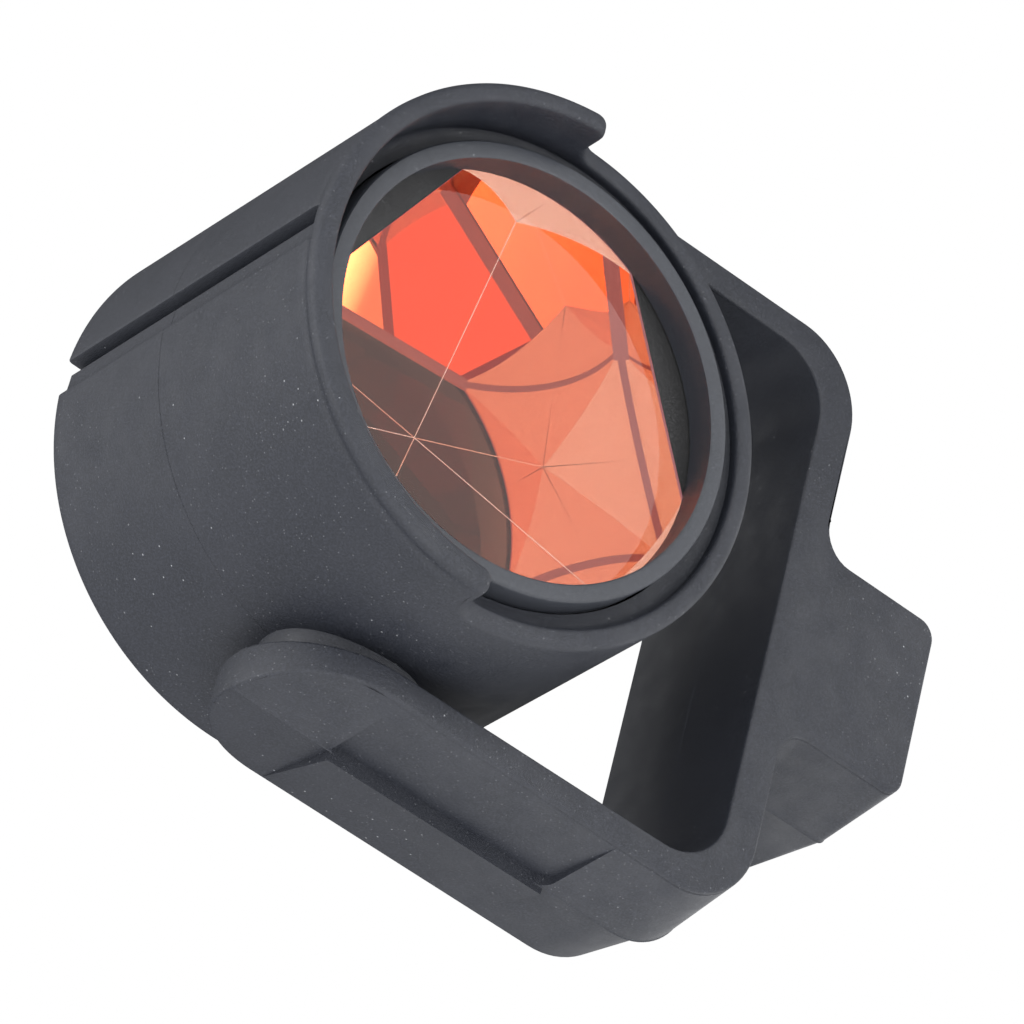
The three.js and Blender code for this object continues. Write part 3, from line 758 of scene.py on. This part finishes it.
def moulded(name, dark, light, roughness=(0.52, 0.66), dust=1.0, grain=3200.0, bump_size=0.00005):
    """Fine-grained moulded polymer: mottled tone, grain, and a few specks of dust."""
    material, tree, shader = new_material(name)
    coords = tree.nodes.new("ShaderNodeTexCoord").outputs["Object"]
    mottle = ramp(tree, noise(tree, coords, 90, 4), [(0.35, dark), (0.68, light)])
    fine = noise(tree, coords, grain, 3)
    toned = mixed(tree, ramp(tree, fine, [(0.42, 0.0), (0.72, 0.9)]), mottle,
                  tuple(min(1.0, c * 1.7) for c in light))
    large = specks(tree, coords, scale=520, size=(0.05, 0.09), patches=(60, 0.5, 0.62),
                   strength=0.7 * dust)
    small = specks(tree, coords, scale=1100, size=(0.07, 0.13), patches=(35, 0.42, 0.55),
                   strength=0.3 * dust)
    colour = mixed(tree, combined(tree, "MAXIMUM", large, small), toned, (0.32, 0.33, 0.35))
    link(tree, colour, shader.inputs["Base Color"])
    link(tree, ramp(tree, noise(tree, coords, 240, 3), [(0.3, roughness[0]), (0.7, roughness[1])]),
         shader.inputs["Roughness"])
    bump(tree, fine, 0.5, bump_size, shader)
    return material


def metal(name, dark, light, roughness=(0.25, 0.4), metallic=1.0, scale=(60, 900, 60)):
    """Turned metal: faint rings of tone and roughness."""
    material, tree, shader = new_material(name)
    coords = tree.nodes.new("ShaderNodeTexCoord").outputs["Object"]
    mapping = tree.nodes.new("ShaderNodeMapping")
    mapping.inputs["Scale"].default_value = scale
    link(tree, coords, mapping.inputs["Vector"])
    streak = noise(tree, mapping.outputs["Vector"], 8, 4)
    link(tree, ramp(tree, streak, [(0.3, dark), (0.7, light)]), shader.inputs["Base Color"])
    rough = ramp(tree, streak, [(0.3, roughness[0]), (0.7, roughness[1])])
    link(tree, rough, shader.inputs["Roughness"])
    shader.inputs["Metallic"].default_value = metallic
    bump(tree, streak, 0.25, 0.00002, shader)
    return material


CROWN_GLASS_IOR = 1.517


def glass_material():
    material, tree, shader = new_material("optical_glass")
    tree.nodes.remove(shader)
    coords = tree.nodes.new("ShaderNodeTexCoord").outputs["Object"]
    glass = tree.nodes.new("ShaderNodeBsdfGlass")
    glass.inputs["IOR"].default_value = CROWN_GLASS_IOR
    glass.inputs["Roughness"].default_value = 0.0
    tint = ramp(tree, noise(tree, coords, 400, 2),
                [(0.3, (0.985, 0.99, 0.985)), (0.7, (1.0, 1.0, 1.0))])
    link(tree, tint, glass.inputs["Color"])
    link(tree, glass.outputs["BSDF"], tree.nodes["Material Output"].inputs["Surface"])
    return material


def copper_material():
    material, tree, shader = new_material("copper_coating")
    coords = tree.nodes.new("ShaderNodeTexCoord").outputs["Object"]
    tone = ramp(tree, noise(tree, coords, 120, 2),
                [(0.3, (0.953, 0.640, 0.500)), (0.7, (0.957, 0.650, 0.510))])
    link(tree, tone, shader.inputs["Base Color"])
    shader.inputs["Metallic"].default_value = 1.0
    shader.inputs["Roughness"].default_value = 0.0
    return material


# ------------------------------------------------------------------ the pieces
POLYMER = moulded("black_polymer", (0.010, 0.012, 0.018), (0.015, 0.017, 0.024))
ANODISED = moulded("anodised_shell", (0.024, 0.027, 0.034), (0.030, 0.033, 0.041),
                   roughness=(0.42, 0.5), dust=0.6, grain=5200.0, bump_size=0.00001)
COVER = moulded("cover_polymer", (0.030, 0.030, 0.033), (0.040, 0.040, 0.044), roughness=(0.5, 0.6))
LATCH = moulded("latch_polymer", (0.022, 0.022, 0.025), (0.030, 0.030, 0.034), roughness=(0.4, 0.5))
RUBBER = moulded("black_rubber", (0.018, 0.018, 0.019), (0.026, 0.026, 0.027),
                 roughness=(0.7, 0.85), dust=0.3)
ACETAL = moulded("acetal", (0.62, 0.61, 0.57), (0.7, 0.69, 0.65), roughness=(0.35, 0.45), dust=0.1)
STEEL = metal("steel", (0.42, 0.43, 0.44), (0.6, 0.61, 0.62))
BRASS = metal("brass", (0.55, 0.4, 0.18), (0.72, 0.55, 0.28), scale=(60, 60, 900))
BASE_METAL = moulded("base_metal", (0.05, 0.05, 0.054), (0.065, 0.065, 0.07),
                     roughness=(0.38, 0.48))
GLASS = glass_material()
COPPER = copper_material()
GROUND = moulded("ground_side", (0.86, 0.74, 0.68), (0.9, 0.78, 0.72),
                 roughness=(0.6, 0.7), dust=0.0)
EDGE_LINE = moulded("chamfer_line", (0.9, 0.62, 0.52), (0.95, 0.7, 0.6),
                    roughness=(0.3, 0.4), dust=0.0)
GLASS_BLACK = moulded("glass_edge", (0.10, 0.05, 0.055), (0.13, 0.065, 0.07), dust=0.0)


def glowing(material, colour, strength):
    """A faint light of its own, in place of light that comes by paths too long to follow."""
    shader = material.node_tree.nodes["Principled BSDF"]
    shader.inputs["Emission Color"].default_value = (*colour, 1.0)
    shader.inputs["Emission Strength"].default_value = strength


# Painted light: the glow on the ground side, the chamfer lines and the blackened edge of the glass
# stands in for light reaching them inside the glass; their base colours are their own
glowing(GROUND, (1.0, 0.33, 0.18), 0.38)
glowing(GLASS_BLACK, (1.0, 0.4, 0.45), 0.3)
glowing(EDGE_LINE, (1.0, 0.5, 0.4), 0.15)

SLOT_OF = {m["node"]: m["material_slot"] for m in frame["record"]["subparts"]}
BY_SLOT = {
    "black_polymer": POLYMER, "anodised_shell": ANODISED, "cover_polymer": COVER,
    "optical_glass": GLASS, "copper_coating": COPPER, "black_rubber": RUBBER, "steel": STEEL,
    "acetal": ACETAL, "brass": BRASS, "latch_polymer": LATCH, "base_metal": BASE_METAL,
}


def dress(obj, *materials):
    slots = [polygon.material_index for polygon in obj.data.polygons]
    obj.data.materials.clear()
    for material in materials:
        obj.data.materials.append(material)
    for polygon, slot in zip(obj.data.polygons, slots):
        polygon.material_index = min(slot, len(materials) - 1)


def put(obj, body, *replaced):
    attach(obj, body)
    if replaced:
        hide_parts(*replaced)


for node, obj in frame["nodes"].items():
    for index in range(len(obj.material_slots)):
        obj.material_slots[index].material = BY_SLOT[SLOT_OF[node]]

barrel = holder_barrel()
dress(barrel, POLYMER)
put(barrel, "prism", "holder_barrel")

for side, node in ((-1, "friction_washer_left"), (1, "friction_washer_right")):
    washer = friction_washer(side)
    dress(washer, RUBBER)
    put(washer, "prism", node)

ring = front_ring()
dress(ring, ANODISED)
put(ring, "prism", "front_ring")

shell = canister_body()
dress(shell, ANODISED)
put(shell, "prism", "canister_body")

seats = glass_seats()
dress(seats, RUBBER)
put(seats, "prism")

cube = prism_glass()
dress(cube, GLASS, COPPER, GROUND, EDGE_LINE, GLASS_BLACK)
put(cube, "prism", "prism_glass")

body = yoke()
dress(body, POLYMER)
put(body, "yoke", "yoke_frame")


# ------------------------------------------------------------------ stage, light and camera
PHOTO_SIDE = (-0.533, -0.7095, 0.4607)
LIT_SIDE = (-0.6, -0.8, 0.0)


def seen_by_camera(tree, to_camera, to_others):
    """One shader for what the camera sees of the stage, another for the light it gives."""
    mix = tree.nodes.new("ShaderNodeMixShader")
    link(tree, tree.nodes.new("ShaderNodeLightPath").outputs["Is Camera Ray"], mix.inputs[0])
    link(tree, to_others, mix.inputs[1])
    link(tree, to_camera, mix.inputs[2])
    return mix.outputs[0]


def along(tree, vector, axis):
    """How far a direction points along an axis, as -1 to 1."""
    node = tree.nodes.new("ShaderNodeVectorMath")
    node.operation = "DOT_PRODUCT"
    node.inputs[1].default_value = axis
    link(tree, vector, node.inputs[0])
    return node.outputs["Value"]


def levels(tree, value, stops):
    """Brightness against a value from -1 to 1."""
    spread_out = tree.nodes.new("ShaderNodeMapRange")
    spread_out.inputs["From Min"].default_value = -1.0
    link(tree, value, spread_out.inputs["Value"])
    return ramp(tree, spread_out.outputs[0], [((v + 1) / 2, level) for v, level in stops])


AROUND = [(-0.7, 0.07), (-0.15, 0.45), (0.2, 1.0)]
GLARE = (-0.053, -0.312, 0.0)   # centre of a bright spot on the floor, fitted to the photo
GLARE_EDGE = (0.055, 0.075)     # radii where the spot starts to fade and ends
GLARE_GAIN = 6.0
TENT = 1.7                      # radiance of the studio's bright side
LIGHTS_AIM = (0.0, 0.0, 0.07)
FLOOR_HALF = 6.0
FLOOR_HEIGHT = -0.0005


def floor():
    """White to the camera. The light it gives is stronger on the lit side and has one bright
    spot, which the camera doesn't see and the glass reflects as a yellow patch."""
    mesh = bpy.data.meshes.new("floor")
    corners = [(-1, -1), (1, -1), (1, 1), (-1, 1)]
    mesh.from_pydata([(x * FLOOR_HALF, y * FLOOR_HALF, FLOOR_HEIGHT) for x, y in corners],
                     [], [(0, 1, 2, 3)])
    obj = bpy.data.objects.new("floor", mesh)
    bpy.context.scene.collection.objects.link(obj)
    material, tree, shader = new_material("floor")
    tree.nodes.remove(shader)
    place = tree.nodes.new("ShaderNodeVectorMath")
    place.operation = "NORMALIZE"
    link(tree, tree.nodes.new("ShaderNodeTexCoord").outputs["Object"], place.inputs[0])
    given = tree.nodes.new("ShaderNodeEmission")
    given.inputs["Strength"].default_value = TENT * 0.9
    to_glare = tree.nodes.new("ShaderNodeVectorMath")
    to_glare.operation = "DISTANCE"
    to_glare.inputs[1].default_value = GLARE
    link(tree, tree.nodes.new("ShaderNodeTexCoord").outputs["Object"], to_glare.inputs[0])
    around = levels(tree, along(tree, place.outputs[0], LIT_SIDE), AROUND)
    glared = tree.nodes.new("ShaderNodeMath")
    glared.operation = "MULTIPLY_ADD"
    glared.inputs[1].default_value = GLARE_GAIN
    inner, outer = GLARE_EDGE
    spot = ramp(tree, to_glare.outputs["Value"], [(inner, 1.0), (outer, 0.0)])
    link(tree, spot, glared.inputs[0])
    link(tree, around, glared.inputs[2])
    link(tree, glared.outputs[0], given.inputs["Color"])
    white = tree.nodes.new("ShaderNodeEmission")
    out = seen_by_camera(tree, white.outputs[0], given.outputs[0])
    link(tree, out, tree.nodes["Material Output"].inputs["Surface"])
    mesh.materials.append(material)


def world():
    """White to the camera. The light it gives is a tent: bright above and on one side, with
    a dark gap where the photographer stood."""
    sky = bpy.data.worlds.new("studio")
    bpy.context.scene.world = sky
    sky.use_nodes = True
    tree = sky.node_tree
    direction = tree.nodes.new("ShaderNodeTexCoord").outputs["Generated"]
    around = levels(tree, along(tree, direction, LIT_SIDE), AROUND)
    above = levels(tree, along(tree, direction, (0.0, 0.0, 1.0)), [(0.3, 0.0), (0.6, 1.0)])
    gap = levels(tree, along(tree, direction, PHOTO_SIDE), [(0.96, 1.0), (0.985, 0.03)])
    tent = combined(tree, "MULTIPLY", combined(tree, "MAXIMUM", around, above), gap)
    given = tree.nodes["Background"]
    given.inputs["Strength"].default_value = TENT
    link(tree, tent, given.inputs["Color"])
    white = tree.nodes.new("ShaderNodeBackground")
    white.inputs["Color"].default_value = (1.0, 1.0, 1.0, 1.0)
    out = seen_by_camera(tree, white.outputs[0], given.outputs[0])
    link(tree, out, tree.nodes["World Output"].inputs["Surface"])


def soft_box(name, direction, distance, size, radiance):
    """A disk light facing the object from one direction, as bright as the radiance given."""
    data = bpy.data.lights.new(name, "AREA")
    data.shape = "DISK"
    data.size = size
    data.energy = radiance * math.pi * math.pi * (size / 2) ** 2
    obj = bpy.data.objects.new(name, data)
    bpy.context.scene.collection.objects.link(obj)
    away = Vector(direction).normalized()
    obj.location = Vector(LIGHTS_AIM) + away * distance
    obj.rotation_euler = away.to_track_quat("Z", "Y").to_euler()
    obj.visible_camera = False


def camera():
    data = bpy.data.cameras.new("camera")
    data.sensor_fit = "HORIZONTAL"
    data.sensor_width = 36.0
    data.lens = 228.93
    data.shift_x = 0.00398
    data.shift_y = -0.00292
    data.clip_start = 0.05
    data.clip_end = 50.0
    obj = bpy.data.objects.new("camera", data)
    bpy.context.scene.collection.objects.link(obj)
    right = Vector((0.212663, -0.639512, -0.738782))
    up = Vector((0.818763, -0.296023, 0.491932))
    back = Vector((-0.533293, -0.709503, 0.460656))
    turn = Matrix((right, up, back)).transposed()
    obj.matrix_world = Matrix.Translation((-0.479781, -0.640097, 0.481907)) @ turn.to_4x4()
    bpy.context.scene.camera = obj


floor()
world()
soft_box("left", (-0.82, -0.56, 0.12), distance=1.2, size=0.42, radiance=6.0)
soft_box("top", (-0.1, 0.1, 1.0), distance=1.6, size=1.0, radiance=2.2)
camera()
scene = bpy.context.scene
scene.view_settings.view_transform = "Standard"
scene.view_settings.look = "None"
scene.cycles.denoising_input_passes = "RGB"
scene.cycles.max_bounces = 24
scene.cycles.glossy_bounces = 16
scene.cycles.transmission_bounces = 16
